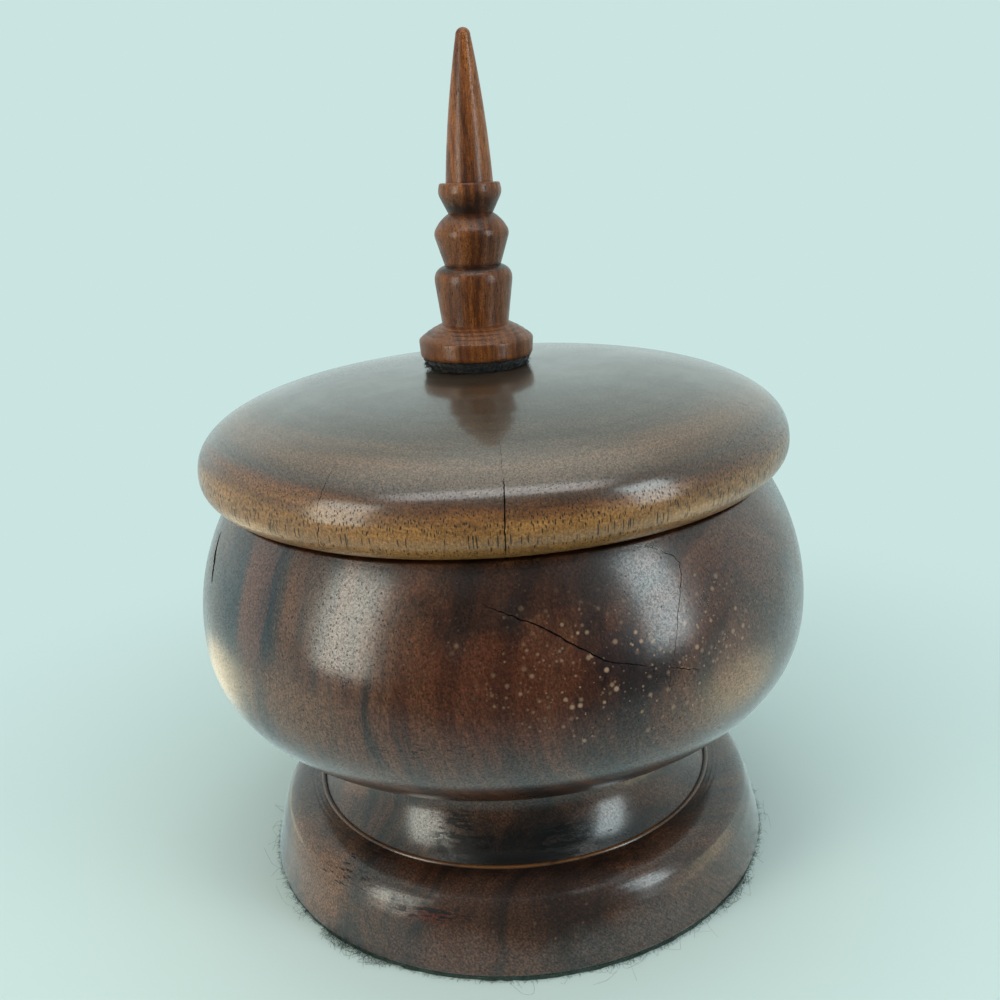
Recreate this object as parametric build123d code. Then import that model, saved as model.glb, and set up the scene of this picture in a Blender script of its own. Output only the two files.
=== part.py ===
from build123d import *
import math
import os

# A turned wooden box with a footed globe bowl, a domed lid and a spire finial.
# Millimetres, +Z up, origin at the centre of the face that the box rests on.
# Outlines are drawn as (radius, height) and turned about the Z axis.

# Felt under the foot
felt_thickness = 1.5
felt_setback = 0.4

# Foot, from the table up. Each width is a step from the part above it.
foot_height = 36.5
band_height = 10.9
band_lean = 2.8
arris_step = 0.6
arris_rise = 0.4
flare_height = 7.7
flare_width = 10.6
lip_width = 1.2
lip_rise = 0.7
cove_spread = 8.4
cove_depth = 2.6
foot_top_step = 0.6

# Bowl. Its rim and belly follow the lid's radius.
bowl_height = 66.0
belly_rise = 34.0
belly_swell = 10.4
bottom_inset = 32.1
lower_curve_power = 2.41
upper_curve_power = 2.0
rim_width = 7.4
rebate_depth = 7.0
bowl_wall = 7.2
hollow_floor_inset = 22.0
floor_thickness = 10.0
foot_tenon_radius = 24.9
foot_tenon_length = 10.0

# Lid
lid_radius = 75.0
lid_overhang = 6.2
edge_height = 8.4
edge_width = 11.1
crown_height = 19.7
crown_side_power = 2.82
crown_top_power = 2.41
spigot_length = 5.5
spigot_width = 6.9
spigot_clearance = 0.5
lid_recess_depth = 11.0
lid_recess_corner = 4.0

# Finial and its washer
washer_thickness = 2.8
washer_top_radius = 13.8
washer_bottom_radius = 12.6
finial_offset = -2.7
finial_lean = 1.5
finial_tenon_radius = 4.0
finial_tenon_length = 10.0
base_disc_radius = 14.5
base_disc_height = 3.2
base_disc_cut_in = 0.3
base_slope_height = 4.9
base_slope_bulge = 0.9
base_top_radius = 8.6
lower_bead_height = 14.4
lower_bead_shoulder = 3.7
lower_bead_bulge = 0.9
lower_bead_radius = 9.75
lower_bead_foot_radius = 8.4
groove_radius = 7.0
upper_bead_height = 12.4
upper_bead_shoulder = 4.7
upper_bead_bulge = 0.8
upper_bead_radius = 9.4
neck_radius = 5.5
collar_height = 7.2
collar_rim = 2.4
collar_radius = 7.9
collar_top_radius = 7.4
spire_height = 34.8
spire_bulge = 0.5
spire_radius = 5.8
spire_tip_radius = 1.8

# Fits
glue_clearance = 0.1

# Points on each rounded stretch of an outline
outline_steps = 6
crown_steps = 12

# Heights worked out from the sizes above
foot_bottom_z = felt_thickness
bowl_bottom_z = foot_bottom_z + foot_height
belly_z = bowl_bottom_z + belly_rise
rim_z = bowl_bottom_z + bowl_height
widest_lid_z = rim_z + edge_height
lid_top_z = widest_lid_z + crown_height
hollow_floor_z = bowl_bottom_z + floor_thickness
rebate_z = rim_z - rebate_depth
recess_top_z = rim_z + lid_recess_depth

# Radii worked out from the lid's radius, inwards and down
rim_radius = lid_radius - lid_overhang
rim_opening_radius = rim_radius - rim_width
spigot_radius = rim_opening_radius - spigot_clearance
lid_recess_radius = spigot_radius - spigot_width
belly_radius = rim_radius + belly_swell
hollow_radius = belly_radius - bowl_wall
hollow_floor_radius = hollow_radius - hollow_floor_inset
bowl_bottom_radius = belly_radius - bottom_inset
foot_top_radius = bowl_bottom_radius - foot_top_step
ledge_radius = foot_top_radius + cove_spread
flare_radius = ledge_radius + flare_width
arris_radius = flare_radius + arris_step
foot_radius = arris_radius + band_lean


def turned(*edges):
    """A solid turned about the Z axis from a closed outline of (radius, height) edges."""
    return revolve(Plane.XZ * make_face(list(edges)), Axis.Z)


def quarter(centre, width, height, start_angle):
    """A quarter of an ellipse, drawn anticlockwise from start_angle, in degrees."""
    points = []
    for step in range(outline_steps + 1):
        angle = math.radians(start_angle + 90.0 * step / outline_steps)
        points.append((centre[0] + width * math.cos(angle), centre[1] + height * math.sin(angle)))
    first = math.radians(start_angle)
    last = first + math.pi / 2
    tangents = ((-math.sin(first), math.cos(first)), (-math.sin(last), math.cos(last)))
    return Spline(*points, tangents=tangents)


def curve_angle(height, curve_height, power):
    """The angle at which a rounded curve of this power has this height."""
    return math.asin((height / curve_height) ** (power / 2.0))


def curve_point(radius, curve_height, power, angle):
    """A point of a rounded curve of this power, from its widest line at angle 0."""
    share = 2.0 / power
    return radius * math.cos(angle) ** share, curve_height * math.sin(angle) ** share


def globe_points(radius, low, high):
    """Points up a globe outline. Each half is (distance to its end, radius at its end, power)."""
    points = []
    for side, (reach, end_radius, power) in ((-1, low), (1, high)):
        curve_height = curve_height_through(radius, end_radius, reach, power)
        limit = curve_angle(reach, curve_height, power)
        for step in range(outline_steps + 1):
            wide, tall = curve_point(radius, curve_height, power, limit * step / outline_steps)
            points.append((wide, belly_z + side * tall))
    lower = points[outline_steps:0:-1]
    upper = points[outline_steps + 1:]
    return lower + upper


def curve_height_through(radius, cut_radius, cut_height, power):
    """The height of the curve, radius wide, that passes through cut_radius at cut_height."""
    return cut_height / (1.0 - (cut_radius / radius) ** power) ** (1.0 / power)


def crown_points():
    """Points over the lid's domed top, from its widest line to its centre."""
    points = []
    for step in range(crown_steps):
        angle = math.pi / 2 * step / crown_steps
        radius = lid_radius * math.cos(angle) ** (2.0 / crown_side_power)
        height = crown_height * math.sin(angle) ** (2.0 / crown_top_power)
        points.append((radius, widest_lid_z + height))
    return points + [(0.0, lid_top_z)]


def crown_curve():
    """The lid's domed top, upright at its widest line and level at its centre."""
    return Spline(*crown_points(), tangents=((0, 1), (-1, 0)))


def base_felt():
    """The felt disc that the box rests on."""
    felt_radius = foot_radius - felt_setback
    return Pos(0, 0, felt_thickness / 2) * Cylinder(felt_radius, felt_thickness)


def foot():
    """The foot, from its lower band and flare up past the raised lip to the cove."""
    band_top_z = foot_bottom_z + band_height
    flare_z = band_top_z + arris_rise
    ledge_z = flare_z + flare_height
    lip_inner_radius = ledge_radius - lip_width
    lip_middle = (ledge_radius - lip_width / 2, ledge_z + lip_rise)
    cove_middle = ((lip_inner_radius + foot_top_radius) / 2 - cove_depth, (ledge_z + bowl_bottom_z) / 2)
    mortise_radius = foot_tenon_radius + glue_clearance
    mortise_z = bowl_bottom_z - foot_tenon_length - glue_clearance
    return turned(
        Polyline((0, foot_bottom_z), (foot_radius, foot_bottom_z), (arris_radius, band_top_z),
                 (flare_radius, flare_z)),
        quarter((ledge_radius, flare_z), flare_width, flare_height, 0),
        ThreePointArc((ledge_radius, ledge_z), lip_middle, (lip_inner_radius, ledge_z)),
        ThreePointArc((lip_inner_radius, ledge_z), cove_middle, (foot_top_radius, bowl_bottom_z)),
        Polyline((foot_top_radius, bowl_bottom_z), (mortise_radius, bowl_bottom_z),
                 (mortise_radius, mortise_z), (0, mortise_z), (0, foot_bottom_z)),
    )


def bowl():
    """The hollow globe, with a tenon below and a straight rebate for the lid's spigot."""
    outer = globe_points(
        belly_radius,
        (belly_z - bowl_bottom_z, bowl_bottom_radius, lower_curve_power),
        (rim_z - belly_z, rim_radius, upper_curve_power),
    )
    inner = globe_points(
        hollow_radius,
        (belly_z - hollow_floor_z, hollow_floor_radius, lower_curve_power),
        (rebate_z - belly_z, rim_opening_radius, upper_curve_power),
    )
    tenon_z = bowl_bottom_z - foot_tenon_length
    return turned(
        Polyline((0, tenon_z), (foot_tenon_radius, tenon_z), (foot_tenon_radius, bowl_bottom_z), outer[0]),
        Spline(*outer),
        Polyline(outer[-1], (rim_opening_radius, rim_z), inner[-1]),
        Spline(*inner),
        Polyline(inner[0], (0, hollow_floor_z), (0, tenon_z)),
    )


def finial_place():
    """Where the finial and its washer stand on the lid, a little off centre and out of true."""
    return Pos(finial_offset, 0, lid_top_z) * Rot(0, finial_lean, 0)


def lid():
    """The domed lid, with its spigot and recess below and a leaning hole for the finial."""
    seat_radius = lid_radius - edge_width
    spigot_z = rim_z - spigot_length
    corner_z = recess_top_z - lid_recess_corner
    corner_radius = lid_recess_radius - lid_recess_corner
    body = turned(
        Polyline((lid_recess_radius, corner_z), (lid_recess_radius, spigot_z), (spigot_radius, spigot_z),
                 (spigot_radius, rim_z), (seat_radius, rim_z)),
        quarter((seat_radius, widest_lid_z), edge_width, edge_height, -90),
        crown_curve(),
        Polyline((0, lid_top_z), (0, recess_top_z), (corner_radius, recess_top_z)),
        quarter((corner_radius, corner_z), lid_recess_corner, lid_recess_corner, 0),
    )
    hole_depth = finial_tenon_length + glue_clearance
    drill = Cylinder(finial_tenon_radius + glue_clearance, 2 * hole_depth)
    return body - finial_place() * drill


def finial_washer():
    """A tapered washer, cut to the lid's top where it beds down."""
    bedding = washer_thickness / 2
    blank = turned(
        Polyline((0, -bedding), (washer_bottom_radius, -bedding), (washer_bottom_radius, 0),
                 (washer_top_radius, washer_thickness), (0, washer_thickness), (0, -bedding)),
    )
    bore = Cylinder(finial_tenon_radius + glue_clearance, 4 * washer_thickness)
    return finial_place() * (blank - bore) - solid_below_crown()


def solid_below_crown():
    """The lid's domed form, solid, with no recess or hole."""
    return turned(
        crown_curve(),
        Polyline((0, lid_top_z), (0, widest_lid_z), (lid_radius, widest_lid_z)),
    )


def finial():
    """The finial, drawn upright from the lid's top and then set in its place."""
    tenon_z = -finial_tenon_length
    start_z = washer_thickness
    disc_z = start_z + base_disc_height
    slope_z = disc_z + base_slope_height
    groove_z = slope_z + lower_bead_height
    lower_bead_z = groove_z - lower_bead_shoulder
    neck_z = groove_z + upper_bead_height
    upper_bead_z = neck_z - upper_bead_shoulder
    collar_z = neck_z + collar_height
    collar_rim_z = collar_z - collar_rim
    tip_z = collar_z + spire_height
    tip_round_z = tip_z - spire_tip_radius
    under_radius = base_disc_radius - base_disc_cut_in
    shape = turned(
        Polyline((0, tenon_z), (finial_tenon_radius, tenon_z), (finial_tenon_radius, start_z),
                 (under_radius, start_z), (base_disc_radius, disc_z)),
        SagittaArc((base_disc_radius, disc_z), (base_top_radius, slope_z), -base_slope_bulge),
        Polyline((base_top_radius, slope_z), (lower_bead_foot_radius, slope_z),
                 (lower_bead_radius, lower_bead_z)),
        SagittaArc((lower_bead_radius, lower_bead_z), (groove_radius, groove_z), -lower_bead_bulge),
        Line((groove_radius, groove_z), (upper_bead_radius, upper_bead_z)),
        SagittaArc((upper_bead_radius, upper_bead_z), (neck_radius, neck_z), -upper_bead_bulge),
        Polyline((neck_radius, neck_z), (collar_radius, collar_rim_z), (collar_top_radius, collar_z),
                 (spire_radius, collar_z)),
        SagittaArc((spire_radius, collar_z), (spire_tip_radius, tip_round_z), -spire_bulge),
        quarter((0, tip_round_z), spire_tip_radius, spire_tip_radius, 0),
        Line((0, tip_z), (0, tenon_z)),
    )
    return finial_place() * shape


os.makedirs("parts", exist_ok=True)
for name, shape in {
    "base_felt": base_felt(),
    "foot": foot(),
    "bowl": bowl(),
    "lid": lid(),
    "finial_washer": finial_washer(),
    "finial": finial(),
}.items():
    export_step(shape, f"parts/{name}.step")
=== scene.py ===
import math

import bmesh
import bpy
from mathutils import Matrix, Vector, noise


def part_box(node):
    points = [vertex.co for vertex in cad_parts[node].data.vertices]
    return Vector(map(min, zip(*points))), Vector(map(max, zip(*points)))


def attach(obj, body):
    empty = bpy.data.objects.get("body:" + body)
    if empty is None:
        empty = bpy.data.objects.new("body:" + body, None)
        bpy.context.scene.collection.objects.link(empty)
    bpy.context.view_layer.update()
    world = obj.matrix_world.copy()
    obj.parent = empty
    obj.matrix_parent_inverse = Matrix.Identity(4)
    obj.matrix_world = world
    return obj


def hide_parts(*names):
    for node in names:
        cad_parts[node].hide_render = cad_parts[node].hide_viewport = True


# A turned wooden box: a felted foot, a globe bowl, and a domed lid with a leaning finial.
# Metres. Outlines are (radius, height) pairs, drawn from the axis below, out, and back to the axis above.

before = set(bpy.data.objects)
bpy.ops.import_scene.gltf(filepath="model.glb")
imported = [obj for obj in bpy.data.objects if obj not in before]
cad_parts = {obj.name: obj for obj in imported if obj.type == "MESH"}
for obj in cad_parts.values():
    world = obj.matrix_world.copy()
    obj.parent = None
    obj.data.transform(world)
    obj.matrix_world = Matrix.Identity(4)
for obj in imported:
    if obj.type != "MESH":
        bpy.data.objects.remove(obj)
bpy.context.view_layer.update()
mm = 0.001

# Camera, as the photograph was taken
camera_place = (0.0, -267.4 * mm, 179.4 * mm)
camera_lens = 37.8
camera_tilt = math.radians(17.42)
camera_turn = math.radians(0.17)
camera_roll = math.radians(-3.81)

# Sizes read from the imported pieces
felt_low, felt_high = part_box("base_felt")
foot_low, foot_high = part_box("foot")
bowl_low, bowl_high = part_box("bowl")
lid_low, lid_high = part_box("lid")
foot_top_z = foot_high.z
rim_z = bowl_high.z
lid_top_z = lid_high.z

# Foot
band_height = 10.9 * mm
band_lean = 2.8 * mm
arris_step = 0.6 * mm
arris_rise = 0.4 * mm
flare_height = 7.7 * mm
ledge_z = foot_low.z + band_height + arris_rise + flare_height
ledge_radius = 54.9 * mm
lip_width = 1.2 * mm
lip_crest = 0.5 * mm
cove_waist_radius = 47.5 * mm
cove_top_radius = 46.5 * mm
tenon_radius = 24.9 * mm
mortise_radius = 25.0 * mm
mortise_z = bowl_low.z - 0.1 * mm

# Bowl
belly_radius = bowl_high.x
belly_z = foot_top_z + 34.0 * mm
lower_curve_height = 39.1 * mm
lower_curve_power = 2.41
upper_curve_height = 64.6 * mm
rim_opening_radius = 61.4 * mm
rebate_depth = 7.0 * mm
hollow_radius = 72.0 * mm
hollow_floor_radius = 50.0 * mm
hollow_floor_z = foot_top_z + 10.0 * mm

# Lid
lid_radius = lid_high.x
edge_height = 8.4 * mm
edge_width = 11.1 * mm
crown_side_power = 2.82
crown_top_power = 2.41
widest_lid_z = rim_z + edge_height
crown_height = lid_top_z - widest_lid_z
spigot_radius = rim_opening_radius - 0.5 * mm
recess_radius = 54.0 * mm
recess_top_z = rim_z + 11.0 * mm
recess_corner = 4.0 * mm

# Finial, from the lid's top
finial_offset = -2.7 * mm
finial_lean = math.radians(1.5)
washer_thickness = 2.8 * mm
finial_tenon_radius = 4.0 * mm
finial_tenon_length = 10.0 * mm

# Fineness of the turned meshes
turn_steps = 256


def signed_power(value, power):
    return math.copysign(abs(value) ** power, value)


def rounded(centre, width, height, start, stop, steps=12, side_power=2.0, top_power=2.0):
    """Points along a rounded curve between two angles in degrees, measured up from level."""
    points = []
    for step in range(steps + 1):
        angle = math.radians(start + (stop - start) * step / steps)
        points.append((
            centre[0] + width * signed_power(math.cos(angle), 2.0 / side_power),
            centre[1] + height * signed_power(math.sin(angle), 2.0 / top_power),
        ))
    return points


def bulged(start, stop, bulge, steps=8):
    """Points along a shallow arc from start to stop, standing out to the right of the way."""
    (r0, z0), (r1, z1) = start, stop
    length = math.hypot(r1 - r0, z1 - z0)
    across = ((z1 - z0) / length, -(r1 - r0) / length)
    points = []
    for step in range(steps + 1):
        share = step / steps
        out = bulge * 4.0 * share * (1.0 - share)
        points.append((r0 + (r1 - r0) * share + across[0] * out, z0 + (z1 - z0) * share + across[1] * out))
    return points


def softened(before, corner, after, reach, steps=4):
    """Points that ease a sharp corner, starting and ending reach away from it."""
    first = Vector(corner) + (Vector(before) - Vector(corner)).normalized() * reach
    last = Vector(corner) + (Vector(after) - Vector(corner)).normalized() * reach
    points = []
    for step in range(steps + 1):
        share = step / steps
        point = first * (1 - share) ** 2 + Vector(corner) * 2 * share * (1 - share) + last * share ** 2
        points.append(tuple(point))
    return points


def divided(outline, longest):
    """The same outline with points added wherever two lie further apart than longest."""
    points = [outline[0]]
    for (r0, z0), (r1, z1) in zip(outline, outline[1:]):
        length = math.hypot(r1 - r0, z1 - z0)
        if length < 1e-7:
            continue
        parts = max(1, math.ceil(length / longest))
        for part in range(1, parts + 1):
            points.append((r0 + (r1 - r0) * part / parts, z0 + (z1 - z0) * part / parts))
    return points


def new_object(name, data):
    piece = bpy.data.objects.new(name, data)
    bpy.context.scene.collection.objects.link(piece)
    return piece


def from_shape(name, shape):
    mesh = bpy.data.meshes.new(name)
    shape.to_mesh(mesh)
    shape.free()
    return new_object(name, mesh)


def turn(name, outline, longest=2.0 * mm):
    """A closed mesh turned about the Z axis from an outline that starts and ends on the axis."""
    points = divided(outline, longest)
    shape = bmesh.new()
    rings = []
    for radius, height in points:
        if radius < 1e-6:
            rings.append([shape.verts.new((0.0, 0.0, height))])
            continue
        ring = []
        for step in range(turn_steps):
            angle = 2 * math.pi * step / turn_steps
            ring.append(shape.verts.new((radius * math.cos(angle), radius * math.sin(angle), height)))
        rings.append(ring)
    for low, high in zip(rings, rings[1:]):
        for step in range(turn_steps):
            after = (step + 1) % turn_steps
            if len(low) == 1:
                shape.faces.new((low[0], high[after], high[step]))
            elif len(high) == 1:
                shape.faces.new((low[step], low[after], high[0]))
            else:
                shape.faces.new((low[step], low[after], high[after], high[step]))
    bmesh.ops.recalc_face_normals(shape, faces=shape.faces)
    return from_shape(name, shape)


def smooth(piece, angle=35):
    """Smooth shading, with edges kept crisp where they turn by more than the angle."""
    mesh = piece.data
    mesh.polygons.foreach_set("use_smooth", [True] * len(mesh.polygons))
    mesh.set_sharp_from_angle(angle=math.radians(angle))
    return piece


# Outlines of the turned pieces

def foot_outline():
    band_top_z = foot_low.z + band_height
    flare_z = band_top_z + arris_rise
    base = (foot_high.x, foot_low.z)
    arris = (foot_high.x - band_lean, band_top_z)
    lip_inner = (ledge_radius - lip_width, ledge_z)
    flare_width = arris[0] - arris_step - ledge_radius
    flare = rounded((ledge_radius, flare_z), flare_width, flare_height, 0, 90, 18)
    waist = (cove_waist_radius, (ledge_z + foot_top_z) / 2)
    top = (cove_top_radius, foot_top_z)
    chord = ((lip_inner[0] + top[0]) / 2 - waist[0])
    return (
        [(0.0, foot_low.z)]
        + softened((0.0, foot_low.z), base, arris, 0.5 * mm)
        + softened(base, arris, flare[2], 1.2 * mm)
        + scored(flare[3:], (ledge_radius + 1.0 * mm, ledge_radius + 2.0 * mm), 0.06 * mm)
        + rounded((ledge_radius - lip_width / 2, ledge_z), lip_width / 2, lip_crest, 0, 180, 10)
        + bulged(lip_inner, top, -chord, 16)
        + [(mortise_radius, foot_top_z), (mortise_radius, mortise_z), (0.0, mortise_z)]
    )


def scored(points, radii, depth, width=0.35 * mm):
    """The same points with a fine turned line scored down at each of the radii."""
    result = []
    for radius, height in divided(points, 0.25 * mm):
        cut = sum(depth * math.exp(-((radius - line) / width) ** 2) for line in radii)
        result.append((radius, height - cut))
    return result


def eased_into(before, arc, skip):
    """An arc whose first corner, where it meets the line from before, is eased up to its point number skip."""
    reach = math.dist(arc[0], arc[skip])
    return softened(before, arc[0], arc[skip], reach) + arc[skip + 1:]


def bowl_outline():
    low_limit = math.degrees(math.asin(((belly_z - foot_top_z) / lower_curve_height) ** (lower_curve_power / 2)))
    high_limit = math.degrees(math.asin((rim_z - belly_z) / upper_curve_height))
    centre = (0.0, belly_z)
    lower = rounded(centre, belly_radius, lower_curve_height, -low_limit, 0, 22, lower_curve_power, lower_curve_power)
    upper = rounded(centre, belly_radius, upper_curve_height, 0, high_limit, 16)
    hollow_depth = belly_z - hollow_floor_z
    floor_share = 1.0 - (hollow_floor_radius / hollow_radius) ** lower_curve_power
    hollow_low = hollow_depth / floor_share ** (1.0 / lower_curve_power)
    rebate_z = rim_z - rebate_depth
    hollow_high = (rebate_z - belly_z) / math.sqrt(1.0 - (rim_opening_radius / hollow_radius) ** 2)
    high_angle = math.degrees(math.asin((rebate_z - belly_z) / hollow_high))
    low_angle = math.degrees(math.asin((hollow_depth / hollow_low) ** (lower_curve_power / 2)))
    inner_upper = rounded(centre, hollow_radius, hollow_high, high_angle, 0, 14)
    inner_lower = rounded(centre, hollow_radius, hollow_low, 0, -low_angle, 14, lower_curve_power, lower_curve_power)
    rim_outer, rim_inner = upper[-1], (rim_opening_radius, rim_z)
    return (
        [(0.0, bowl_low.z), (tenon_radius, bowl_low.z), (tenon_radius, foot_top_z)]
        + lower + upper[1:-1]
        + softened(upper[-2], rim_outer, rim_inner, 0.3 * mm)
        + softened(rim_outer, rim_inner, inner_upper[0], 0.6 * mm)
        + inner_upper + inner_lower[1:]
        + [(0.0, hollow_floor_z)]
    )


def lid_outline():
    seat_radius = lid_radius - edge_width
    corner = (recess_radius - recess_corner, recess_top_z - recess_corner)
    recess_foot = (recess_radius, lid_low.z)
    spigot_foot = (spigot_radius, lid_low.z)
    spigot_root = (spigot_radius, rim_z)
    edge = rounded((seat_radius, widest_lid_z), edge_width, edge_height, -90, 0, 18)
    crown = rounded((0.0, widest_lid_z), lid_radius, crown_height, 0, 90, 48, crown_side_power, crown_top_power)
    return (
        [(0.0, recess_top_z)]
        + rounded(corner, recess_corner, recess_corner, 90, 0, 8)
        + softened((recess_radius, corner[1]), recess_foot, spigot_foot, 0.5 * mm)
        + softened(recess_foot, spigot_foot, spigot_root, 0.5 * mm)
        + [spigot_root] + edge + crown[1:-1] + [(0.0, lid_top_z)]
    )


def finial_outline():
    """The finial upright, with height 0 at the lid's top."""
    start = washer_thickness
    disc = start + 4.4 * mm
    slope = disc + 3.7 * mm
    groove = slope + 14.4 * mm
    neck = groove + 12.4 * mm
    collar = neck + 7.2 * mm
    tip = collar + 34.8 * mm
    tip_radius = 1.8 * mm
    under_radius = 14.2 * mm
    disc_radius = 14.5 * mm
    top_radius = 8.6 * mm
    bead_foot = (8.4 * mm, slope)
    lower_bead = (9.75 * mm, groove - 3.7 * mm)
    waist = (7.0 * mm, groove)
    upper_bead = (9.4 * mm, neck - 4.7 * mm)
    neck_point = (5.5 * mm, neck)
    collar_side = (7.9 * mm, collar - 2.4 * mm)
    collar_top = (7.4 * mm, collar)
    spire_foot = (5.8 * mm, collar)
    spire_top = (tip_radius, tip - tip_radius)
    disc_slope = bulged((disc_radius, disc), (top_radius, slope), 0.35 * mm, 16)
    return (
        [(0.0, -finial_tenon_length), (finial_tenon_radius, -finial_tenon_length), (finial_tenon_radius, start)]
        + softened((finial_tenon_radius, start), (under_radius, start), (disc_radius, disc), 0.9 * mm)
        + softened((under_radius, start), disc_slope[0], disc_slope[2], 0.5 * mm)
        + scored(disc_slope[2:], (10.2 * mm, 11.6 * mm, 12.8 * mm), 0.12 * mm, 0.3 * mm)
        + softened((top_radius, slope), bead_foot, lower_bead, 0.1 * mm)
        + eased_into(bead_foot, bulged(lower_bead, waist, 0.9 * mm, 12), 2)
        + eased_into(waist, bulged(upper_bead, neck_point, 0.5 * mm, 12), 2)
        + softened(neck_point, collar_side, collar_top, 1.1 * mm)
        + softened(collar_side, collar_top, spire_foot, 0.5 * mm)
        + bulged(spire_foot, spire_top, 0.5 * mm, 20)
        + rounded((0.0, tip - tip_radius), tip_radius, tip_radius, 0, 90, 8)[1:-1]
        + [(0.0, tip)]
    )


finial_place = Matrix.Translation((finial_offset, 0.0, lid_top_z)) @ Matrix.Rotation(finial_lean, 4, "Y")


# Cracks, cut into the turned meshes

def radius_at(outline, height):
    """The outer radius of an outline at a height."""
    best = 0.0
    for (r0, z0), (r1, z1) in zip(outline, outline[1:]):
        low, high = min(z0, z1), max(z0, z1)
        if low <= height <= high and high > low:
            best = max(best, r0 + (r1 - r0) * (height - z0) / (z1 - z0))
    return best


def surface_point(outline, azimuth, height):
    """A point of the surface. Azimuth is in degrees, right of the side that faces the photographer."""
    radius = radius_at(outline, height)
    angle = math.radians(azimuth)
    return Vector((radius * math.sin(angle), -radius * math.cos(angle), height))


def surface_normal(outline, azimuth, height):
    step = 0.2 * mm
    slope = (radius_at(outline, height + step) - radius_at(outline, height - step)) / (2 * step)
    angle = math.radians(azimuth)
    return Vector((math.sin(angle), -math.cos(angle), -slope)).normalized()


def smooth_route(stations, parts=8):
    """Stations joined by a smooth curve through each of them."""
    padded = [stations[0]] + list(stations) + [stations[-1]]
    route = []
    for before, start, stop, after in zip(padded, padded[1:], padded[2:], padded[3:]):
        for part in range(parts):
            t = part / parts
            route.append(tuple(
                0.5 * (2 * b + (c - a) * t + (2 * a - 5 * b + 4 * c - d) * t * t + (3 * b - a - 3 * c + d) * t ** 3)
                for a, b, c, d in zip(before, start, stop, after)
            ))
    return route + [tuple(stations[-1])]


def crack_cutter(name, outline, width, depth, wander, seed, stations, facing=1.0):
    """A thin wedge that follows stations of (azimuth, height) and closes to nothing at both ends. Lengths are in mm.

    Its edge points into the wood, or out of it where facing is -1.
    """
    width, depth, wander = width * mm, depth * mm, wander * mm
    route = smooth_route(stations)
    places = []
    for index, (azimuth, height) in enumerate(route):
        stray = wander * noise.noise(Vector((index * 0.45, seed, 0.0)))
        point = surface_point(outline, azimuth, height * mm)
        places.append((point, surface_normal(outline, azimuth, height * mm), stray))
    shape = bmesh.new()
    rings = []
    for index, (point, normal, stray) in enumerate(places):
        before = places[max(index - 1, 0)][0]
        after = places[min(index + 1, len(places) - 1)][0]
        side = normal.cross(after - before).normalized()
        share = index / (len(places) - 1)
        opening = max(math.sin(math.pi * share), 0.0) ** 0.45
        uneven = 0.75 + 0.5 * noise.noise(Vector((index * 0.8, seed + 5.0, 1.0)))
        half = max(width * opening * uneven / 2, 0.02 * mm)
        centre = point + side * stray
        corners = (
            centre + normal * facing * 0.6 * mm - side * half * 1.3,
            centre + normal * facing * 0.6 * mm + side * half * 1.3,
            centre - normal * facing * (depth * max(opening, 0.15)),
        )
        rings.append([shape.verts.new(corner) for corner in corners])
    for low, high in zip(rings, rings[1:]):
        for corner in range(3):
            after = (corner + 1) % 3
            shape.faces.new((low[corner], low[after], high[after], high[corner]))
    shape.faces.new(rings[0][::-1])
    shape.faces.new(rings[-1])
    bmesh.ops.recalc_face_normals(shape, faces=shape.faces)
    return from_shape(name, shape)


def add_to(piece, addition):
    """Adds a second mesh to the piece, in the addition's own material."""
    shape = bmesh.new()
    shape.from_mesh(piece.data)
    before = len(shape.faces)
    shape.from_mesh(addition.data)
    shape.faces.ensure_lookup_table()
    for face in shape.faces[before:]:
        face.material_index = len(piece.data.materials)
    piece.data.materials.append(addition.data.materials[0])
    shape.to_mesh(piece.data)
    shape.free()
    bpy.data.objects.remove(addition)
    return piece


def leaning_drill():
    """The hole for the finial's tenon, which leans as the finial does."""
    shape = bmesh.new()
    bmesh.ops.create_cone(
        shape, cap_ends=True, segments=48, radius1=finial_tenon_radius + 0.1 * mm,
        radius2=finial_tenon_radius + 0.1 * mm, depth=2 * finial_tenon_length,
    )
    shape.transform(finial_place)
    return from_shape("tenon_drill", shape)


def cut(piece, cutters):
    """Cuts each cutter out of the piece, and leaves a plain mesh."""
    for cutter in cutters:
        modifier = piece.modifiers.new("cut", "BOOLEAN")
        modifier.operation = "DIFFERENCE"
        modifier.solver = "EXACT"
        modifier.material_mode = "TRANSFER"
        modifier.object = cutter
        graph = bpy.context.evaluated_depsgraph_get()
        old = piece.data
        piece.data = bpy.data.meshes.new_from_object(piece.evaluated_get(graph))
        piece.modifiers.clear()
        bpy.data.meshes.remove(old)
    for cutter in cutters:
        bpy.data.objects.remove(cutter)
    return piece


# Node helpers

class Value:
    """A node's output. Arithmetic with it adds Math nodes to its own tree."""

    def __init__(self, socket):
        self.socket, self.tree = socket, socket.id_data

    def __add__(self, other):
        return calculate("ADD", self, other)

    def __sub__(self, other):
        return calculate("SUBTRACT", self, other)

    def __rsub__(self, other):
        return calculate("SUBTRACT", other, self)

    def __mul__(self, other):
        return calculate("MULTIPLY", self, other)

    def __truediv__(self, other):
        return calculate("DIVIDE", self, other)

    def __rtruediv__(self, other):
        return calculate("DIVIDE", other, self)


def feed(socket, value):
    """Links the socket to a Value, or sets it to anything else."""
    if isinstance(value, Value):
        value.tree.links.new(value.socket, socket)
    else:
        socket.default_value = value


def tree_of(values):
    return next(value.tree for value in values if isinstance(value, Value))


def add_node(tree, kind, inputs, **settings):
    """A new node with its settings, and its inputs fed by name or number."""
    node = tree.nodes.new(kind)
    for name, value in settings.items():
        setattr(node, name, value)
    for name, value in inputs.items():
        feed(node.inputs[name], value)
    return node


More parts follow.
